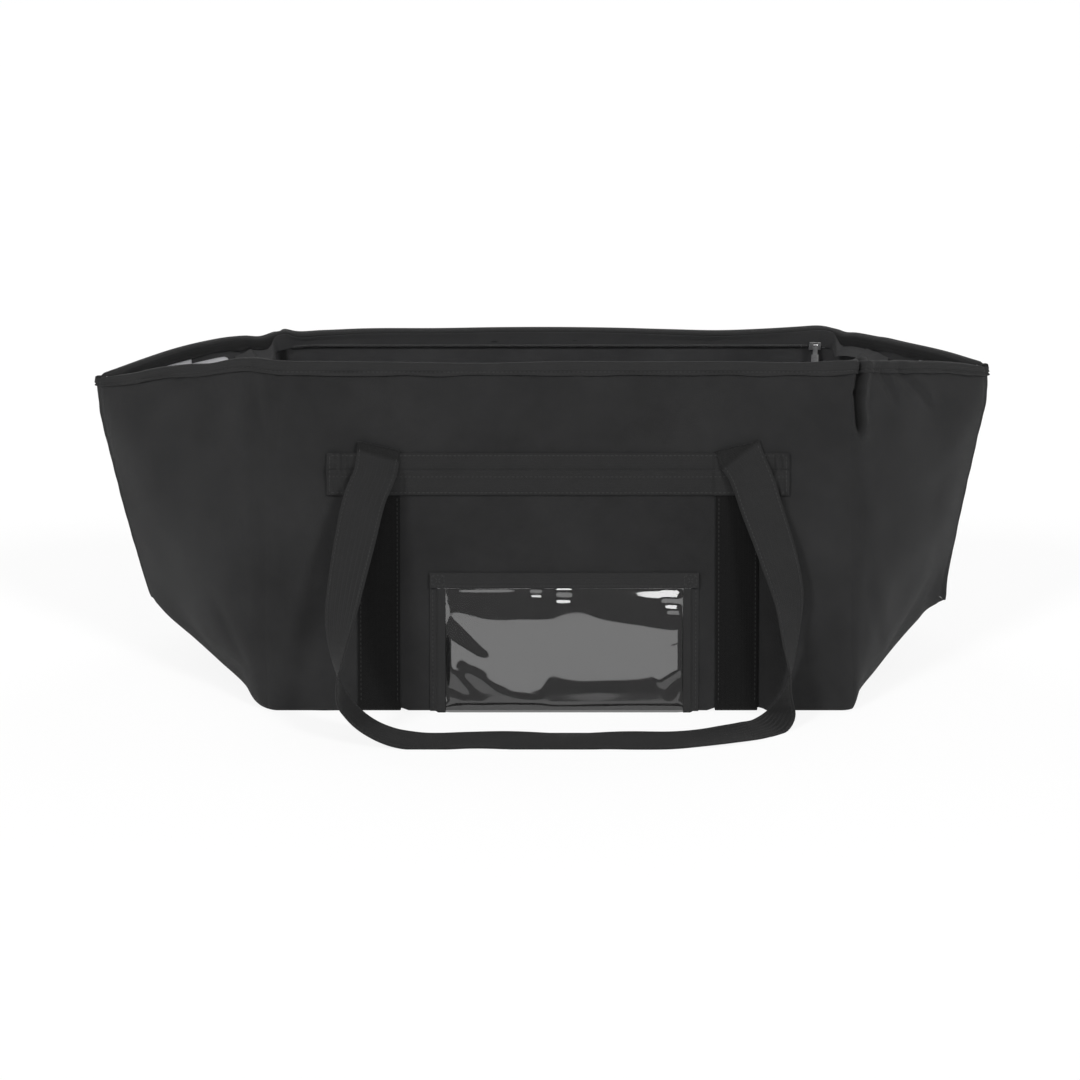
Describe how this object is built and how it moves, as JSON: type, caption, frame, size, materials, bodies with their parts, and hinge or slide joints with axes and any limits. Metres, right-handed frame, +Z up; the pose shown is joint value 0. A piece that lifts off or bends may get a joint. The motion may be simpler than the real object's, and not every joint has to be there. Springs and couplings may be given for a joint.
{
  "type": "insulated food carrier bag",
  "caption": "Open-topped soft bag with padded walls, a silver lining, two webbing handles, a zip at the mouth and a clear pocket, for carrying hot food pans.",
  "frame": {"origin": "middle of the base's underside, on the surface that the bag stands on", "axes": "+X along the bag to the right as the clear pocket is seen, +Y from the front panel to the back panel, +Z up"},
  "size_m": [0.8825, 0.535, 0.3186],
  "materials": {
    "cloth": "matt black woven polyester",
    "webbing": "ribbed black polypropylene webbing",
    "binding": "folded black binding tape",
    "zip_tape": "black zip tape",
    "foam": "white foam padding",
    "foil_lining": "silver foil-faced lining",
    "zip_coil": "black plastic coil",
    "zip_metal": "worn grey metal",
    "clear_vinyl": "clear glossy vinyl sheet"
  },
  "bodies": {
    "bag": {"front_shell": "cloth", "back_shell": "cloth", "base_shell": "cloth", "front_foam": "foam", "back_foam": "foam", "base_foam": "foam", "front_liner": "foil_lining", "back_liner": "foil_lining", "base_liner": "foil_lining", "front_facing": "cloth", "back_facing": "cloth", "front_rim_binding": "binding", "back_rim_binding": "binding", "front_zip_tape": "zip_tape", "back_zip_tape": "zip_tape", "front_zip_coil": "zip_coil", "back_zip_coil": "zip_coil", "front_zip_stop_left": "zip_metal", "front_zip_stop_right": "zip_metal", "back_zip_stop_left": "zip_metal", "back_zip_stop_right": "zip_metal", "left_carry_webbing": "webbing", "right_carry_webbing": "webbing", "front_cross_band": "webbing", "back_cross_band": "webbing", "pocket_window": "clear_vinyl", "pocket_binding_left": "binding", "pocket_binding_right": "binding", "pocket_binding_top": "binding"},
    "front_loop": {"front_handle": "webbing"},
    "back_loop": {"back_handle": "webbing"},
    "slider": {"zip_slider": "zip_metal"},
    "pull": {"zip_pull": "zip_metal"}
  },
  "joints": [
    {"name": "front_handle_swing", "type": "hinge", "parent": "bag", "child": "front_loop", "pos_m": [0, -0.11244, 0.24155], "axis": [-1, 0, 0], "range_deg": [0, 155]},
    {"name": "back_handle_swing", "type": "hinge", "parent": "bag", "child": "back_loop", "pos_m": [0, 0.11244, 0.24155], "axis": [1, 0, 0], "range_deg": [0, 155]},
    {"name": "zip_slider_travel", "type": "slide", "parent": "bag", "child": "slider", "axis": [-1, 0, 0], "range_m": [0, 0.529]},
    {"name": "zip_pull_swing", "type": "hinge", "parent": "slider", "child": "pull", "pos_m": [0.2645, 0.07911, 0.30086], "axis": [-1, 0, 0], "range_deg": [-15, 130]}
  ]
}
